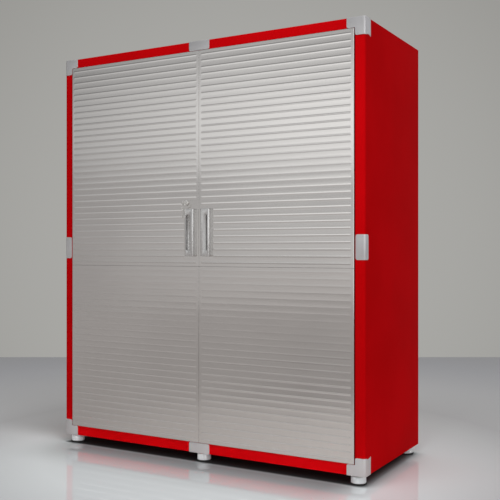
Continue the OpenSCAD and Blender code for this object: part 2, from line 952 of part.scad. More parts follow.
module pad(x, y) {
    color(black)
        translate([x, y, 0])
            rotate_extrude()
                polygon([
                    [0, 0],
                    [pad_r - foot_bevel, 0],
                    [pad_r, foot_bevel],
                    [pad_r, pad_t - foot_bevel],
                    [pad_r - foot_bevel, pad_t],
                    [0, pad_t]
                ]);
}

module foot_sockets() {
    z = [foot_h, deck_z - sheet];
    color(zinc)
        for (x = [-foot_x, 0, foot_x])
            for (y = foot_y)
                difference() {
                    union() {
                        rod_z(x, y, z, socket_r);
                        rod_z(x, y, [z[1] - socket_flange_t, z[1]], socket_flange_r);
                    }
                    rod_z(x, y, [z[0] - cut, z[1] + cut], stem_r + run_fit);
                }
}

left() side([foot_h, joint_z]);  // left_side_lower
left() side(upper_z);  // left_side_upper
side([foot_h, joint_z]);  // right_side_lower
side(upper_z);  // right_side_upper
left() top_half();  // top_left
top_half();  // top_right
left() bottom_half();  // bottom_left
bottom_half();  // bottom_right
left() back_panel(lower_z, [joint_z - back_t, joint_z]);  // back_lower_left
back_panel(lower_z, [joint_z - back_t, joint_z]);  // back_lower_right
left() back_panel(upper_z, [joint_z, joint_z + back_t]);  // back_upper_left
back_panel(upper_z, [joint_z, joint_z + back_t]);  // back_upper_right
partition([deck_z, joint_z]);  // partition_lower
partition([joint_z, lintel_z]);  // partition_upper
left() shelf(0);  // left_shelf_low
left() shelf(1);  // left_shelf_middle
left() shelf(2);  // left_shelf_high
shelf(0);  // right_shelf_low
shelf(1);  // right_shelf_middle
shelf(2);  // right_shelf_high
shelf_uprights();
shelf_clips();
magnetic_catches();
corner_caps();
edge_caps();
hinge_bushes();
foot_sockets();
back_screws();
left() skin(upper_skin_z, true);  // left_door_upper_skin
left() skin(lower_skin_z, true);  // left_door_lower_skin
left() liner(true);  // left_door_liner
left() hinge_pins();  // left_hinge_pins
left() handle();  // left_handle
left() handle_screws();  // left_handle_screws
left() lock_housing();
left() lock_nut();
skin(upper_skin_z, false);  // right_door_upper_skin
skin(lower_skin_z, false);  // right_door_lower_skin
liner(false);  // right_door_liner
hinge_pins();  // right_hinge_pins
handle();  // right_handle
handle_screws();  // right_handle_screws
left() lock_plug();
left() lock_cam();
left() key();
left() key_ring();
left() spare_key();
foot(-foot_x, foot_y[0]);  // front_left_foot
foot(0, foot_y[0]);  // front_centre_foot
foot(foot_x, foot_y[0]);  // front_right_foot
foot(-foot_x, foot_y[1]);  // rear_left_foot
foot(0, foot_y[1]);  // rear_centre_foot
foot(foot_x, foot_y[1]);  // rear_right_foot
pad(-foot_x, foot_y[0]);  // front_left_pad
pad(0, foot_y[0]);  // front_centre_pad
pad(foot_x, foot_y[0]);  // front_right_pad
pad(-foot_x, foot_y[1]);  // rear_left_pad
pad(0, foot_y[1]);  // rear_centre_pad
pad(foot_x, foot_y[1]);  // rear_right_pad
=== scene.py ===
import json
import math

import bmesh
import bpy
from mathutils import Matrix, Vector


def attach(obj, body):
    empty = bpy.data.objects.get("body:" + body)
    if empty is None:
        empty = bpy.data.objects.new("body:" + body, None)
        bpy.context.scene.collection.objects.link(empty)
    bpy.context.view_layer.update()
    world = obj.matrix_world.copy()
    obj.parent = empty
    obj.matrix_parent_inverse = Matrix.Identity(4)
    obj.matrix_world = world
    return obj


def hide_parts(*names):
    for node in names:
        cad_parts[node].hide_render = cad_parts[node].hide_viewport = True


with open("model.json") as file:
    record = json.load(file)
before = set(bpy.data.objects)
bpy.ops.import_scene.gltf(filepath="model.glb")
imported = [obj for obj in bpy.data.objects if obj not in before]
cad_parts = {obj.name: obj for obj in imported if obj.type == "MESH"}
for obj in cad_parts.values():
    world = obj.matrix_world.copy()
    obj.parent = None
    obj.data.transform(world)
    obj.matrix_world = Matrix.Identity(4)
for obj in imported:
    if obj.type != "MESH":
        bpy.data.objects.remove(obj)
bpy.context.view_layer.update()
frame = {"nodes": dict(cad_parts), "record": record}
mm = 0.001


class Wire:
    # one socket of a node tree: the operators add Math nodes, add() adds any other node
    def __init__(self, tree, socket=None):
        self.tree = tree
        self.socket = socket

    def add(self, kind, settings=None, links=None, out=0):
        made = self.tree.nodes.new(kind)
        for name, value in (settings or {}).items():
            if name == "stops":
                ramp = made.color_ramp
                while len(ramp.elements) < len(value):
                    ramp.elements.new(0.5)
                for stop, (place, tone) in zip(ramp.elements, value):
                    stop.position = place
                    stop.color = (*tone, 1)
            else:
                setattr(made, name, value)
        for name, value in (links or {}).items():
            if isinstance(value, Wire):
                self.tree.links.new(value.socket, made.inputs[name])
            else:
                made.inputs[name].default_value = value
        return Wire(self.tree, made.outputs[out] if made.outputs else None)

    def pick(self, name):
        return Wire(self.tree, self.socket.node.outputs[name])

    def maths(self, operation, *values):
        return self.add("ShaderNodeMath", {"operation": operation}, dict(enumerate(values)))

    def __add__(self, other):
        return self.maths("ADD", self, other)

    def __radd__(self, other):
        return self.maths("ADD", other, self)

    def __sub__(self, other):
        return self.maths("SUBTRACT", self, other)

    def __rsub__(self, other):
        return self.maths("SUBTRACT", other, self)

    def __mul__(self, other):
        return self.maths("MULTIPLY", self, other)

    def __rmul__(self, other):
        return self.maths("MULTIPLY", other, self)

    def __truediv__(self, other):
        return self.maths("DIVIDE", self, other)

    def __rtruediv__(self, other):
        return self.maths("DIVIDE", other, self)

    def between(self, low, high, kind="SMOOTHSTEP", start=0.0, end=1.0):
        settings = {"interpolation_type": kind, "clamp": True}
        return self.add("ShaderNodeMapRange", settings, {0: self, 1: low, 2: high, 3: start, 4: end})

    def noise(self, scale, stretch=(1, 1, 1), detail=2.0, rough=0.5):
        # grain on Object coordinates, stretched along the axes
        where = self.add("ShaderNodeTexCoord").pick("Object")
        where = self.add("ShaderNodeMapping", None, {"Vector": where, "Scale": stretch})
        sizes = {"Vector": where, "Scale": scale, "Detail": detail, "Roughness": rough}
        return self.add("ShaderNodeTexNoise", None, sizes)

    def blend(self, low, high):
        return self.add("ShaderNodeMix", {"data_type": "RGBA"}, {0: self, 6: low, 7: high}, 2)

    def bump(self, distance, strength):
        return self.add("ShaderNodeBump", None, {"Height": self, "Distance": distance, "Strength": strength})


def makeMaterial(name, fixed, look):
    # fixed: constants on the shader's own sockets; look: function that returns what varies
    material = bpy.data.materials.new(name)
    material.use_nodes = True
    tree = material.node_tree
    shader = next(n for n in tree.nodes if n.type == "BSDF_PRINCIPLED")
    for socket, value in fixed.items():
        shader.inputs[socket].default_value = value
    for socket, wire in look(Wire(tree)).items():
        tree.links.new(wire.socket, shader.inputs[socket])
    return material


# Finishes: each goes from its dark tone to its light one over a span of the noise; depths are in mm

cloudSpan = (0.3, 0.7)
grainSpan = (0.25, 0.75)
redCoat = {"dark": (0.50, 0.0015, 0.003, 1), "light": (0.56, 0.002, 0.004, 1), "gloss": 0.34,
           "cloudGloss": 0.08, "specular": 0.001, "cloudScale": 3, "cloudDetail": 3,
           "peelScale": 420, "peelDetail": 1, "depth": 0.02, "strength": 0.5}


def redLook(w):
    cloud = w.noise(redCoat["cloudScale"], detail=redCoat["cloudDetail"])
    peel = w.noise(redCoat["peelScale"], detail=redCoat["peelDetail"])
    return {
        "Base Color": cloud.between(*cloudSpan).blend(redCoat["dark"], redCoat["light"]),
        "Roughness": redCoat["gloss"] + cloud * redCoat["cloudGloss"],
        "Normal": peel.bump(redCoat["depth"] * mm, redCoat["strength"]),
    }


steelSheet = {"dark": (0.674, 0.655, 0.638, 1), "light": (0.765, 0.745, 0.726, 1), "gloss": 0.045,
              "grainGloss": 0.08, "cloudGloss": 0.04, "grainScale": 60, "stretch": (0.12, 1, 14),
              "detail": 3, "rough": 0.6, "cloudScale": 2.2, "grainShare": 0.7, "cloudShare": 0.3,
              "depth": 0.003, "strength": 0.4}


def steelLook(w):
    s = steelSheet
    grain = w.noise(s["grainScale"], s["stretch"], s["detail"], s["rough"])
    cloud = w.noise(s["cloudScale"])
    mixed = grain * s["grainShare"] + cloud * s["cloudShare"]
    return {
        "Base Color": mixed.between(*grainSpan).blend(s["dark"], s["light"]),
        "Roughness": s["gloss"] + grain * s["grainGloss"] + cloud * s["cloudGloss"],
        "Normal": grain.bump(s["depth"] * mm, s["strength"]),
    }


moulded = {"cloudScale": 9, "poreGloss": 0.15, "depth": 0.03, "strength": 0.5}


def plasticLook(tones):
    def look(w):
        cloud = w.noise(moulded["cloudScale"])
        pores = w.noise(tones["pores"])
        return {
            "Base Color": cloud.between(*cloudSpan).blend(tones["dark"], tones["light"]),
            "Roughness": tones["gloss"] + pores * moulded["poreGloss"],
            "Normal": pores.bump(moulded["depth"] * mm, moulded["strength"]),
        }
    return look


finishedMetal = {"detail": 3, "rough": 0.6, "grainGloss": 0.12, "depth": 0.005, "strength": 0.4}


def metalLook(tones):
    def look(w):
        m = finishedMetal
        grain = w.noise(tones["grain"], tones["stretch"], m["detail"], m["rough"])
        return {
            "Base Color": grain.between(*grainSpan).blend(tones["dark"], tones["light"]),
            "Roughness": tones["gloss"] + grain * m["grainGloss"],
            "Normal": grain.bump(m["depth"] * mm, m["strength"]),
        }
    return look


silverCap = {"dark": (0.64, 0.635, 0.645, 1), "light": (0.72, 0.715, 0.725, 1), "gloss": 0.34,
             "pores": 700, "metallic": 0.85}
castMetal = {"dark": (0.66, 0.655, 0.65, 1), "light": (0.75, 0.745, 0.74, 1), "gloss": 0.22,
             "grain": 300, "stretch": (1, 1, 0.1)}
zincPlate = {"dark": (0.55, 0.55, 0.52, 1), "light": (0.68, 0.68, 0.66, 1), "gloss": 0.22,
             "grain": 160, "stretch": (1, 1, 1)}
nickelPlate = {"dark": (0.78, 0.77, 0.75, 1), "light": (0.88, 0.87, 0.85, 1), "gloss": 0.12,
               "grain": 400, "stretch": (1, 1, 1)}
footPlastic = {"dark": (0.74, 0.75, 0.76, 1), "light": (0.82, 0.83, 0.84, 1), "gloss": 0.3, "pores": 800}
padRubber = {"dark": (0.012, 0.012, 0.012, 1), "light": (0.025, 0.025, 0.025, 1), "gloss": 0.65, "pores": 500}
blackPlastic = {"dark": (0.015, 0.015, 0.016, 1), "light": (0.03, 0.03, 0.031, 1), "gloss": 0.4, "pores": 700}
nylonWhite = {"dark": (0.66, 0.66, 0.60, 1), "light": (0.74, 0.74, 0.69, 1), "gloss": 0.4, "pores": 600}

metal = {"Metallic": 1.0}
finishes = {
    "red_paint": makeMaterial("redCoat", {"Specular IOR Level": redCoat["specular"]}, redLook),
    "ribbed_steel": makeMaterial("satinSheet", metal, steelLook),
    "grey_plastic": makeMaterial("silverCap", {"Metallic": silverCap["metallic"]}, plasticLook(silverCap)),
    "satin_handle": makeMaterial("castMetal", metal, metalLook(castMetal)),
    "zinc_steel": makeMaterial("zincPlate", metal, metalLook(zincPlate)),
    "lock_metal": makeMaterial("nickelPlate", metal, metalLook(nickelPlate)),
    "foot_plastic": makeMaterial("footPlastic", {}, plasticLook(footPlastic)),
    "rubber": makeMaterial("padRubber", {}, plasticLook(padRubber)),
    "black_plastic": makeMaterial("blackPlastic", {}, plasticLook(blackPlastic)),
    "nylon": makeMaterial("nylonWhite", {}, plasticLook(nylonWhite)),
}
slotOf = {part["node"]: part["material_slot"] for part in frame["record"]["subparts"]}
bodyOf = {n: b for b, members in frame["record"]["behaviour"]["bodies"].items() for n in members}
for name, obj in frame["nodes"].items():
    obj.data.materials.clear()
    obj.data.materials.append(finishes[slotOf[name]])
print("finishes made:", len(finishes))

crease = 40  # degrees: a sharper edge stays sharp in the shading


def settle(mesh, name, node):
    # a finished piece takes its body and finish from the node that it stands for
    piece = bpy.data.objects.new(name, mesh)
    bpy.context.scene.collection.objects.link(piece)
    if not mesh.materials:
        mesh.materials.append(finishes[slotOf[node]])
    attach(piece, bodyOf[node])
    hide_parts(node)


def blankObject(mesh, name):
    blank = bpy.data.objects.new(name, mesh)
    bpy.context.scene.collection.objects.link(blank)
    return blank


def plainMesh(obj, name):
    # what the modifiers make, as a plain mesh
    bpy.context.view_layer.update()
    seen = obj.evaluated_get(bpy.context.evaluated_depsgraph_get())
    mesh = bpy.data.meshes.new_from_object(seen)
    mesh.name = name
    bpy.data.objects.remove(obj)
    return mesh


def smooth(mesh, degrees=crease):
    mesh.shade_smooth()
    mesh.set_sharp_from_angle(angle=math.radians(degrees))


def toMesh(work, name):
    made = bpy.data.meshes.new(name)
    work.to_mesh(made)
    work.free()
    return made


def bend(centre, radius, start, end, steps=4):
    # points along an arc, angles in degrees
    turn = [math.radians(start + (end - start) * i / steps) for i in range(steps + 1)]
    return [(centre[0] + radius * math.cos(a), centre[1] + radius * math.sin(a)) for a in turn]


def giveWall(blank, thickness):
    wall = blank.modifiers.new("wall", "SOLIDIFY")
    wall.thickness = thickness * mm
    wall.offset = -1
    wall.use_even_offset = True


def turned(name, profile, centre, steps):
    # turns a profile of (radius, height) about an upright axis; a radius of 0 makes a pole
    work = bmesh.new()
    rings = []
    for radius, height in profile:
        ring = []
        for k in range(steps if radius else 1):
            a = 2 * math.pi * k / steps
            spoke = Vector((radius * math.cos(a), radius * math.sin(a), height))
            ring.append(work.verts.new((Vector(centre) + spoke) * mm))
        rings.append(ring)
    for low, high in zip(rings, rings[1:]):
        for k in range(steps):
            corners = [low[k % len(low)], low[(k + 1) % len(low)],
                       high[(k + 1) % len(high)], high[k % len(high)]]
            corners = list(dict.fromkeys(corners))
            if len(corners) > 2:
                work.faces.new(corners)
    bmesh.ops.recalc_face_normals(work, faces=work.faces)
    return toMesh(work, name)


def openTree(name, sockets):
    # a Geometry Nodes tree with its named inputs, and one mesh as its result
    tree = bpy.data.node_groups.new(name, "GeometryNodeTree")
    tree.is_modifier = True
    for label, kind in sockets:
        tree.interface.new_socket(label, in_out="INPUT", socket_type="NodeSocket" + kind)
    tree.interface.new_socket("Result", in_out="OUTPUT", socket_type="NodeSocketGeometry")
    w = Wire(tree)
    return w, w.add("NodeGroupInput")


def closeTree(w, shape, finish):
    whole = w.add("GeometryNodeRealizeInstances", None, {0: shape})
    painted = w.add("GeometryNodeSetMaterial", None, {"Geometry": whole, "Material": finish})
    w.add("NodeGroupOutput", None, {0: painted})
    return w.tree


def setInputs(modifier, values):
    for item in modifier.node_group.interface.items_tree:
        if item.name in values:
            modifier[item.identifier] = values[item.name]


# Side panels: one folded sheet from the jamb lip round the stile and the side to the rear flange

sidePanel = {"inner": 720.0, "outer": 762.0, "front": -297.5, "back": 334.5, "jamb": 20.0, "flange": 25.0,
             "corner": 10.0, "cornerSteps": 12, "fold": 1.6, "sheet": 1.2,
             "lower": (41.0, 923.0), "upper": (923.0, 1808.8)}


def sideSheet(zLow, zHigh, hand):
    p = sidePanel
    f, c = p["fold"], p["corner"]
    path = [(p["inner"], p["front"] + p["jamb"])]
    path += bend((p["inner"] + f, p["front"] + f), f, 180, 270)
    path += bend((p["outer"] - c, p["front"] + c), c, 270, 360, p["cornerSteps"])
    path += bend((p["outer"] - f, p["back"] - f), f, 0, 90)
    path += [(p["outer"] - p["flange"], p["back"])]
    work = bmesh.new()
    columns = [[work.verts.new((hand * x * mm, y * mm, z * mm)) for z in (zLow, zHigh)] for x, y in path]
    for a, b in zip(columns, columns[1:]):
        quad = [a[0], b[0], b[1], a[1]]
        work.faces.new(quad if hand > 0 else quad[::-1])
    return toMesh(work, "sideSheet")


for hand, word in ((-1, "left"), (1, "right")):
    for half in ("lower", "upper"):
        name = f"{word}{half.title()}Side"
        blank = blankObject(sideSheet(*sidePanel[half], hand), name + "Blank")
        giveWall(blank, sidePanel["sheet"])
        mesh = plainMesh(blank, name)
        smooth(mesh)
        settle(mesh, name, f"{word}_side_{half}")
print("side panels folded")

# Ribbed door skins: a folded pan whose ribs a node tree presses out of the flat sheet

door = {"x": (0.4, 717.0), "z": (85.0, 1769.0), "face": -301.5, "back": -278.5, "sheet": 1.0, "crease": 50,
        "bend": 0.8, "outerBend": 3.0, "outerSteps": 6, "endBend": 0.8, "seam": 841.0, "seamGap": 0.4,
        "columns": range(150, 700, 50), "taperSteps": 6,
        "keep": 0.6}  # a line of points beside each fold and rib keeps the sheet flat up to it
ribs = {"pitch": 27.9, "width": 9.0, "margin": 12.0, "end": 10.0, "taper": 6.0, "clear": 8.0,
        "height": {"upper": (0.26, 0.19), "lower": (0.64, 0.06)},  # at a panel's foot, and from "level" up
        "level": {"upper": 1760.0, "lower": 600.0}, "bow": 0.05,
        "steps": (-6, -5, -1, 0, 1, 5, 6),  # rows across a rib, in sixths of its half width
        "handle": (884.5, 1089.5), "handleEdge": 63.0, "lock": (1104.0, 1128.0), "lockEdge": 77.0}


def skinColumns():
    # (x, y) across a skin, with the first and last column of its front
    x0, x1 = door["x"]
    r, outerR = door["bend"], door["outerBend"]
    face, back, keep = door["face"], door["back"], door["keep"]
    taper = [ribs["taper"] * k / door["taperSteps"] for k in range(door["taperSteps"] + 1)]
    flat = set(door["columns"])
    for start in (ribs["handleEdge"] + ribs["clear"], ribs["lockEdge"] + ribs["clear"], x0 + ribs["end"]):
        flat.update(start + t for t in taper)
    flat.update(x1 - ribs["end"] - t for t in taper)
    flat.update((x0 + r + keep, x1 - outerR - keep))
    columns = [(x0, back)] + bend((x0 + r, face + r), r, 180, 270)
    inner = len(columns) - 1
    columns += [(x, face) for x in sorted(flat) if x0 + r < x < x1 - outerR]
    outer = len(columns)
    columns += bend((x1 - outerR, face + outerR), outerR, 270, 360, door["outerSteps"]) + [(x1, back)]
    return columns, inner, outer


def skinRows(zLow, zHigh, heights):
    # (z, y) up a skin, with the first and last row of its front
    q, face, back, keep = door["endBend"], door["face"], door["back"], door["keep"]
    half = ribs["width"] / 2
    between = ribs["pitch"] / 2  # from a rib to the middle of the strip beside it
    quarter = (between + half) / 2
    rows = [(zLow, back)] + bend((zLow + q, face + q), q, 180, 270)
    low = len(rows) - 1
    rows += [(zLow + q + keep, face)]
    for z in heights:
        rows += [(z - quarter, face), (z - half - keep, face)]
        rows += [(z + half * k / 6, face) for k in ribs["steps"]]
        rows += [(z + half + keep, face), (z + quarter, face)]
        if z < heights[-1]:
            rows += [(z + between, face)]
    rows += [(zHigh - q - keep, face)]
    high = len(rows)
    rows += [(zLow + zHigh - z, y) for z, y in rows[:low + 1][::-1]]
    return rows, low, high


def panSheet(zLow, zHigh, heights, hand):
    columns, inner, outer = skinColumns()
    rows, low, high = skinRows(zLow, zHigh, heights)
    work = bmesh.new()
    grid = {}
    for i, (x, y) in enumerate(columns):
        for j, (z, depth) in enumerate(rows):
            if inner <= i <= outer or low <= j <= high:  # the corners of the pan are cut away
                grid[i, j] = work.verts.new((hand * x * mm, max(y, depth) * mm, z * mm))
    for i in range(len(columns) - 1):
        for j in range(len(rows) - 1):
            corners = [grid.get(k) for k in ((i, j), (i + 1, j), (i + 1, j + 1), (i, j + 1))]
            if None not in corners:
                work.faces.new(corners if hand > 0 else corners[::-1])
    return toMesh(work, "panSheet")


def ribTree():
    names = ["pitch", "width", "lowHeight", "highHeight", "level", "bow", "first", "last", "inner", "outer",
             "taper", "handleLow", "handleHigh", "handleStart", "lockLow", "lockHigh", "lockStart"]
    sockets = [("Sheet", "Geometry")] + [(name, "Float") for name in names] + [("finish", "Material")]
    w, given = openTree("pressedRibs", sockets)
    g = {name: given.pick(name) for name in names}
    place = w.add("ShaderNodeSeparateXYZ", None, {0: w.add("GeometryNodeInputPosition")})
    x = w.maths("ABSOLUTE", place.pick("X"))
    z = place.pick("Z")
    halfRib = g["width"] * 0.5
    middle = w.maths("ROUND", (z - g["first"]) / g["pitch"]) * g["pitch"] + g["first"]
    away = w.maths("ABSOLUTE", z - middle)
    bead = 1 - w.maths("MINIMUM", away / halfRib, 1.0)  # straight flanks: smooth shading rounds the crest
    strip = away.between(halfRib, g["pitch"] * 0.5, "LINEAR")
    inside = w.maths("GREATER_THAN", z, g["first"]) * w.maths("LESS_THAN", z, g["last"])
    hollow = strip * (2 - strip) * inside * g["bow"]  # the sheet bows in a little between ribs

    def within(low, high):
        return w.maths("GREATER_THAN", middle + halfRib, low) * w.maths("LESS_THAN", middle - halfRib, high)

    atHandle = within(g["handleLow"], g["handleHigh"])
    atLock = within(g["lockLow"], g["lockHigh"])
    start = g["inner"] + atHandle * (g["handleStart"] - g["inner"]) + atLock * (g["lockStart"] - g["inner"])
    ends = x.between(start, start + g["taper"]) * (1 - x.between(g["outer"] - g["taper"], g["outer"]))
    height = middle.between(g["first"], g["level"], "LINEAR", g["lowHeight"], g["highHeight"])
    push = w.add("ShaderNodeCombineXYZ", None, {"Y": (hollow - bead * height) * ends})
    pressed = w.add("GeometryNodeSetPosition", None, {"Geometry": given.pick("Sheet"), "Offset": push})
    return closeTree(w, pressed, given.pick("finish"))


def ribHeights(zLow, zHigh):
    count = int((zHigh - zLow - 2 * ribs["margin"]) / ribs["pitch"]) + 1
    return [(zLow + zHigh) / 2 + (i - (count - 1) / 2) * ribs["pitch"] for i in range(count)]


def ribSizes(half, heights, lock):
    sizes = {"pitch": ribs["pitch"], "width": ribs["width"], "bow": ribs["bow"], "taper": ribs["taper"],
             "lowHeight": ribs["height"][half][0], "highHeight": ribs["height"][half][1],
             "level": ribs["level"][half], "first": heights[0], "last": heights[-1],
             "inner": door["x"][0] + ribs["end"], "outer": door["x"][1] - ribs["end"],
             "handleLow": ribs["handle"][0], "handleHigh": ribs["handle"][1],
             "handleStart": ribs["handleEdge"] + ribs["clear"],
             "lockLow": lock[0], "lockHigh": lock[1], "lockStart": ribs["lockEdge"] + ribs["clear"]}
    return {key: value * mm for key, value in sizes.items()}


ribMaker = ribTree()
for hand, word in ((-1, "left"), (1, "right")):
    lock = ribs["lock"] if hand < 0 else (0.0, 0.0)  # only the left door has one
    for half, zLow, zHigh in (("lower", door["z"][0], door["seam"] - door["seamGap"] / 2),
                              ("upper", door["seam"] + door["seamGap"] / 2, door["z"][1])):
        heights = ribHeights(zLow, zHigh)
        name = f"{word}{half.title()}Skin"
        blank = blankObject(panSheet(zLow, zHigh, heights, hand), name + "Blank")
        press = blank.modifiers.new("press", "NODES")
        press.node_group = ribMaker
        setInputs(press, ribSizes(half, heights, lock))
        setInputs(press, {"finish": finishes["ribbed_steel"]})
        giveWall(blank, door["sheet"])
        mesh = plainMesh(blank, name)
        smooth(mesh, door["crease"])
        settle(mesh, name, f"{word}_door_{half}_skin")
print("door skins pressed")

# Handles, caps, lock and keys: the solids with their edges rounded as cast or moulded

softEdges = {"left_handle": 1.4, "right_handle": 1.4, "corner_caps": 0.6, "edge_caps": 0.6,
             "lock_housing": 0.8, "lock_plug": 0.3, "key": 0.4, "spare_key": 0.4, "lock_nut": 0.4}
edgeWork = {"merge": 0.002, "flat": 0.5, "sharp": 35, "segments": 3}


def roundedCopy(node, name, width):
    # merged copy of a solid with its sharp edges rounded
    work = bmesh.new()
    work.from_mesh(frame["nodes"][node].data)
    bmesh.ops.remove_doubles(work, verts=work.verts, dist=edgeWork["merge"] * mm)
    flat = math.radians(edgeWork["flat"])
    bmesh.ops.dissolve_limit(work, angle_limit=flat, verts=work.verts, edges=work.edges)
    blank = blankObject(toMesh(work, name), name + "Blank")
    edge = blank.modifiers.new("edge", "BEVEL")
    edge.width = width * mm
    edge.segments = edgeWork["segments"]
    edge.limit_method = "ANGLE"
    edge.angle_limit = math.radians(edgeWork["sharp"])
    mesh = plainMesh(blank, name)
    smooth(mesh)
    settle(mesh, name, node)


for node, width in softEdges.items():
    roundedCopy(node, "soft" + node.title().replace("_", ""), width)
print("handles, caps and lock rounded")

# Levelling feet: turned puck on a threaded stem, and a rubber pad under it

foot = {"x": 718.0, "y": (-257.5, 294.5), "steps": 48, "stem": 5.0, "stemTip": 4.0, "stemTop": 77.0,
        "threadDepth": 0.4, "threadPitch": 1.5, "threadStart": 0.5, "threadPlain": 1.0,
        "pad": [(0, 0), (31, 0), (32.4, 0.6), (33, 2), (33, 5), (32.4, 6.4), (31, 7), (0, 7)],
        "puck": [(0, 7), (28.6, 7), (29.6, 7.5), (30, 8.6), (29.9, 11),
                 (29.3, 30.6), (28.6, 32.2), (27.2, 33.3), (25, 33.5)]}


def footProfile():
    top = foot["puck"][-1][1]
    profile = foot["puck"] + [(foot["stem"], top)]
    for k in range(int((foot["stemTop"] - top - foot["threadPlain"]) / foot["threadPitch"])):
        low = top + foot["threadStart"] + k * foot["threadPitch"]
        profile += [(foot["stem"] - foot["threadDepth"], low), (foot["stem"], low + foot["threadPitch"] / 2)]
    return profile + [(foot["stemTip"], foot["stemTop"]), (0, foot["stemTop"])]


for row, y in zip(("front", "rear"), foot["y"]):
    for place, x in (("left", -foot["x"]), ("centre", 0), ("right", foot["x"])):
        for profile, kind in ((footProfile(), "foot"), (foot["pad"], "pad")):
            name = row + place.title() + kind.title()
            mesh = turned(name, profile, (x, y, 0), foot["steps"])
            smooth(mesh)
            settle(mesh, name, f"{row}_{place}_{kind}")
print("feet turned")

# Screws round the back: one pan head with a recess, set on the hole centres by a node tree

backScrew = {"x": 749.5, "face": 334.5, "count": 4, "lower": (83.0, 923.0), "upper": (923.0, 1808.8),
             "turn": -90, "steps": 16,
             "profile": [(0, 1.3), (0.9, 1.3), (1.0, 1.98), (2.2, 1.88), (3.4, 1.5),
                         (4.2, 0.8), (4.2, 0), (2.0, 0), (2.0, -2.0), (0, -2.0)]}


def screwTree():
    sockets = [("Holes", "Geometry"), ("screw", "Object"), ("turn", "Float"), ("finish", "Material")]
    w, given = openTree("setScrews", sockets)
    shape = w.add("GeometryNodeObjectInfo", None, {"Object": given.pick("screw")}).pick("Geometry")
    aim = w.add("ShaderNodeCombineXYZ", None, {"X": given.pick("turn")})
    points = w.add("GeometryNodeMeshToPoints", None, {"Mesh": given.pick("Holes")})
    placing = {"Points": points, "Instance": shape, "Rotation": aim}
    heads = w.add("GeometryNodeInstanceOnPoints", None, placing)
    return closeTree(w, heads, given.pick("finish"))


holes = []
for low, high in (backScrew["lower"], backScrew["upper"]):
    for k in range(backScrew["count"]):
        height = low + (k + 0.5) * (high - low) / backScrew["count"]
        holes += [(hand * backScrew["x"] * mm, backScrew["face"] * mm, height * mm) for hand in (-1, 1)]
holeMesh = bpy.data.meshes.new("holes")
holeMesh.from_pydata(holes, [], [])
screw = blankObject(turned("screw", backScrew["profile"], (0, 0, 0), backScrew["steps"]), "screwShape")
blank = blankObject(holeMesh, "screwsBlank")
setting = blank.modifiers.new("set", "NODES")
setting.node_group = screwTree()
turn = math.radians(backScrew["turn"])
setInputs(setting, {"screw": screw, "turn": turn, "finish": finishes["zinc_steel"]})
mesh = plainMesh(blank, "backScrews")
bpy.data.objects.remove(screw)
smooth(mesh)
settle(mesh, "backScrews", "back_screws")
print("back screws set")

# Camera

photoCamera = {"at": (1950.2, -3235.2, 912.2), "azimuth": 30.03, "lens": 58.97, "sensor": 36, "sight": 60}
azimuth = math.radians(photoCamera["azimuth"])
ahead = Vector((-math.sin(azimuth), math.cos(azimuth), 0))
across = Vector((math.cos(azimuth), math.sin(azimuth), 0))
lens = bpy.data.cameras.new("photoCamera")
lens.lens = photoCamera["lens"]
lens.sensor_width = photoCamera["sensor"]
lens.clip_end = photoCamera["sight"]
camera = bpy.data.objects.new("photoCamera", lens)
camera.location = Vector(photoCamera["at"]) * mm
camera.rotation_euler = (math.radians(90), 0, azimuth)
bpy.context.scene.collection.objects.link(camera)
bpy.context.scene.camera = camera

# Floor: painted light, pale near the cabinet and darker towards the wall, and in reflections painted
# brightest near the glint; metres

floorPlan = {
    "toWall": 6.97, "near": -4.5, "halfWidth": 9.0,  # from the point under the camera
    "seenSpan": 4.0,
    # painted pool of light: the floor colour the camera sees, pale near the cabinet and darker further off
    "seen": [(0.0, (0.75, 0.785, 0.80)), (0.22, (0.75, 0.785, 0.80)), (0.34, (0.46, 0.47, 0.485)),
             (0.62, (0.39, 0.395, 0.41)), (1.0, (0.35, 0.35, 0.355))],
    "glint": (0.9, -0.6), "mirroredSpan": 6.0, "warmth": (1.035, 0.985, 0.96),
    # painted reflection: the floor colour that the doors reflect, brightest near the glint
    "mirrored": [(0.0, 0.62), (0.11, 0.60), (0.227, 0.525), (0.335, 0.435), (0.455, 0.44), (0.578, 0.465),
                 (0.68, 0.50), (1.0, 0.59)],
    # painted shade in that reflected floor colour: a darker patch
    "dim": {"at": (-0.15, -2.1), "reach": (0.2, 1.0), "depth": 0.2},
    "gloss": {"fade": (1.6, 3.2), "roughness": 0.003, "ior": 1.8}, "roughness": 0.6,
}
# painted shadow on the floor, seen only by the camera: dark patches under, in front of and to the left of the
# cabinet
paintedFloorShadow = {  # soft patches: where each one comes in and goes out along x and y
    "beneath": {"x": ((-0.80, -0.74), (0.70, 0.82)), "y": ((-0.33, -0.28), (0.3, 0.36)), "depth": 0.92},
    "before": {"x": ((-0.95, -0.6), (0.6, 0.85)), "y": ((-0.68, -0.27), (-0.2, 0.3)), "depth": 0.6},
    "beside": {"x": ((-1.7, -0.75), (-0.7, -0.5)), "y": ((-0.35, -0.05), (0.3, 0.9)), "depth": 0.5},
}
black = (0.0, 0.0, 0.0, 1)
underCamera = Vector((camera.location.x, camera.location.y, 0))
near, far, halfWidth = floorPlan["near"], floorPlan["toWall"], floorPlan["halfWidth"]
outline = ((near, -halfWidth), (near, halfWidth), (far, halfWidth), (far, -halfWidth))
corners = [underCamera + ahead * a + across * b for a, b in outline]
floorMesh = bpy.data.meshes.new("floor")
floorMesh.from_pydata(corners, [], [(0, 1, 2, 3)])
floor = blankObject(floorMesh, "floor")


def tinted(stops, tint):
    return [(place, tuple(tone * share for share in tint)) for place, tone in stops]


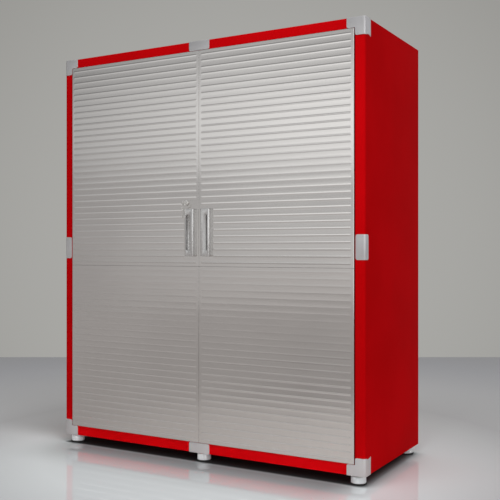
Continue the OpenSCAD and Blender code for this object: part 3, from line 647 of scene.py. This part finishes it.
def floorLook(w):
    where = w.add("ShaderNodeSeparateXYZ", None, {0: w.add("ShaderNodeTexCoord").pick("Object")})
    x, y = where.pick("X"), where.pick("Y")

    def distance(point):
        dx, dy = x - point[0], y - point[1]
        return w.maths("SQRT", dx * dx + dy * dy)

    def patch(name):
        area = paintedFloorShadow[name]
        alongX = x.between(*area["x"][0]) * (1 - x.between(*area["x"][1]))
        alongY = y.between(*area["y"][0]) * (1 - y.between(*area["y"][1]))
        return alongX * alongY

    reach = distance((0.0, 0.0))
    # painted pool of light: floor colour set by distance from the cabinet
    seen = w.add("ShaderNodeValToRGB", {"stops": floorPlan["seen"]}, {0: reach / floorPlan["seenSpan"]})
    # painted reflection: the floor colour for glossy rays, brightest near the glint, with a painted darker
    # patch
    stops = tinted(floorPlan["mirrored"], floorPlan["warmth"])
    spread = distance(floorPlan["glint"]) / floorPlan["mirroredSpan"]
    mirrored = w.add("ShaderNodeValToRGB", {"stops": stops}, {0: spread})
    dim = floorPlan["dim"]
    dimmed = (1 - distance(dim["at"]).between(*dim["reach"])) * dim["depth"]
    mirrored = dimmed.blend(mirrored, black)
    path = w.add("ShaderNodeLightPath")
    bounced = path.pick("Is Glossy Ray")
    # painted shadow: the floor colour darkened under and around the cabinet for camera rays; under the
    # cabinet the gloss is also taken away
    beneath = patch("beneath")
    around = patch("before") * paintedFloorShadow["before"]["depth"] + patch("beside") * paintedFloorShadow["beside"]["depth"]
    shade = w.maths("MAXIMUM", beneath * paintedFloorShadow["beneath"]["depth"], around) * path.pick("Is Camera Ray")
    return {"Base Color": bounced.blend(shade.blend(seen, black), mirrored),
            "Coat Weight": (1 - reach.between(*floorPlan["gloss"]["fade"])) * (1 - bounced) * (1 - beneath)}


floorFixed = {"Roughness": floorPlan["roughness"], "Specular IOR Level": 0.0,
              "Coat Roughness": floorPlan["gloss"]["roughness"], "Coat IOR": floorPlan["gloss"]["ior"]}
floorMesh.materials.append(makeMaterial("paleFloor", floorFixed, floorLook))

# Room: the camera sees a plain wall behind the cabinet, and the rest shows in reflections

roomLight = {  # directions in degrees from the front to the left; edges and rises are cosines and sines
    "span": 40, "warmth": (1.01, 0.97, 0.955),
    "plain": {"warmBelow": 5, "tones": [
        (-40, 0.50), (-14, 0.42), (-9, 0.36), (-4, 0.37), (0, 0.355), (4.9, 0.34), (5.5, 0.40), (7.5, 0.46),
        (9.5, 0.40), (12, 0.225), (16, 0.17), (24, 0.20), (40, 0.30)]},
    "lit": {"warmBelow": -1, "facing": 15, "edge": (0.87, 1.0), "tones": [
        (-40, 0.60), (-14, 0.54), (-9, 0.46), (-4.5, 0.58), (-2, 0.575), (0.7, 0.71), (2.7, 0.595),
        (4.9, 0.50), (5.4, 0.94), (6.8, 1.03), (8.6, 1.16), (10.2, 1.16), (12, 0.86), (16, 0.42),
        (24, 0.25), (40, 0.30)]},
    "panel": {"facing": -32, "edge": (0.80, 0.95), "rise": (-0.35, -0.2), "top": (0.45, 0.6),
              "tone": (0.62, 0.62, 0.62, 1)},
    "strip": {"facing": -67, "edge": (0.97, 0.992), "rise": (-0.3, -0.2), "top": (0.35, 0.45),
              "tone": (2.2, 2.2, 2.2, 1)},
    "wall": {"edge": (0.0, 0.6), "centre": (0.88, 1.0), "outerTone": (0.30, 0.296, 0.28, 1),
             "centreTone": (0.40, 0.396, 0.378, 1)},
    "side": {"facing": -143, "edge": (0.72, 0.97), "rise": (-0.5, -0.3), "tone": (0.51, 0.51, 0.52, 1)},
    "ceiling": {"rise": (0.5, 0.75), "tone": (0.80, 0.80, 0.81, 1)},
}
world = bpy.data.worlds.new("room")
bpy.context.scene.world = world
world.use_nodes = True
room = Wire(world.node_tree)
backdrop = next(n for n in world.node_tree.nodes if n.type == "BACKGROUND")
ray = room.add("ShaderNodeSeparateXYZ", None, {0: room.add("ShaderNodeTexCoord").pick("Generated")})
rise = ray.pick("Z")
level = room.maths("SQRT", room.maths("MAXIMUM", 1.0 - rise * rise, 0.0001))  # the ray's level part
spanSine = math.sin(math.radians(roomLight["span"]))
ramped = rise.between(-spanSine, spanSine, "LINEAR")


def facing(area):
    # cosine of the angle between the ray's level part and an area's compass direction
    a = math.radians(area["facing"])
    return (ray.pick("X") * -math.sin(a) + ray.pick("Y") * -math.cos(a)) / level


def elevationRamp(area):
    # tones given at degrees above the horizon; low ones are a little warmer
    placed = []
    for e, tone in area["tones"]:
        place = (math.sin(math.radians(e)) / spanSine + 1) / 2
        tint = roomLight["warmth"] if e < area["warmBelow"] else (1.0, 1.0, 1.0)
        placed += tinted([(place, tone)], tint)
    return room.add("ShaderNodeValToRGB", {"stops": placed}, {0: ramped})


lit = roomLight["lit"]
plainTone, litTone = elevationRamp(roomLight["plain"]), elevationRamp(lit)
tone = facing(lit).between(*lit["edge"], "LINEAR").blend(plainTone, litTone)
for area in (roomLight["panel"], roomLight["strip"]):
    upright = rise.between(*area["rise"]) * (1 - rise.between(*area["top"]))
    tone = (facing(area).between(*area["edge"]) * upright).blend(tone, area["tone"])
wall = roomLight["wall"]
behind = ray.pick("X") * ahead.x + ray.pick("Y") * ahead.y
wallTone = behind.between(*wall["centre"]).blend(wall["outerTone"], wall["centreTone"])
tone = behind.between(*wall["edge"]).blend(tone, wallTone)
side = roomLight["side"]
tone = (facing(side).between(*side["edge"]) * rise.between(*side["rise"])).blend(tone, side["tone"])
tone = rise.between(*roomLight["ceiling"]["rise"]).blend(tone, roomLight["ceiling"]["tone"])
tone = room.add("ShaderNodeLightPath").pick("Is Camera Ray").blend(tone, wallTone)
world.node_tree.links.new(tone.socket, backdrop.inputs["Color"])
backdrop.inputs["Strength"].default_value = 1.0

# Lamps: soft, and left out of reflections

lamps = {
    "frontLamp": {"at": (1.5, -2.2, 1.6), "aim": (0.4, -0.3, 1.0), "size": (1.0, 1.0), "power": 4},
    "stileLamp": {"at": (0.70, -1.1, 1.15), "aim": (0.70, -0.3, 1.15), "size": (0.3, 0.8), "power": 1.5},
    "railLamp": {"at": (0.0, -1.7, 0.062), "aim": (0.0, -0.3, 0.062), "size": (1.8, 0.03), "power": 0.14,
                 "spread": 7},
    "topLamp": {"at": (0.6, -1.0, 3.8), "aim": (0.3, -0.9, 0.0), "size": (1.0, 1.0), "power": 48},
    "backLamp": {"at": (-0.6, 2.8, 3.4), "aim": (-0.8, 2.4, 0.0), "size": (3.0, 2.0), "power": 6},
}


def softLamp(name, at, aim, size, power, spread=180):
    data = bpy.data.lights.new(name, "AREA")
    data.shape = "RECTANGLE"
    data.size, data.size_y = size
    data.energy = power
    data.spread = math.radians(spread)
    lamp = bpy.data.objects.new(name, data)
    lamp.location = at
    lamp.rotation_euler = (Vector(aim) - Vector(at)).to_track_quat("-Z", "Y").to_euler()
    lamp.visible_glossy = False
    lamp.visible_camera = False
    bpy.context.scene.collection.objects.link(lamp)


for name, lamp in lamps.items():
    softLamp(name, **lamp)
bpy.context.scene.view_settings.view_transform = "Standard"
print("studio set")
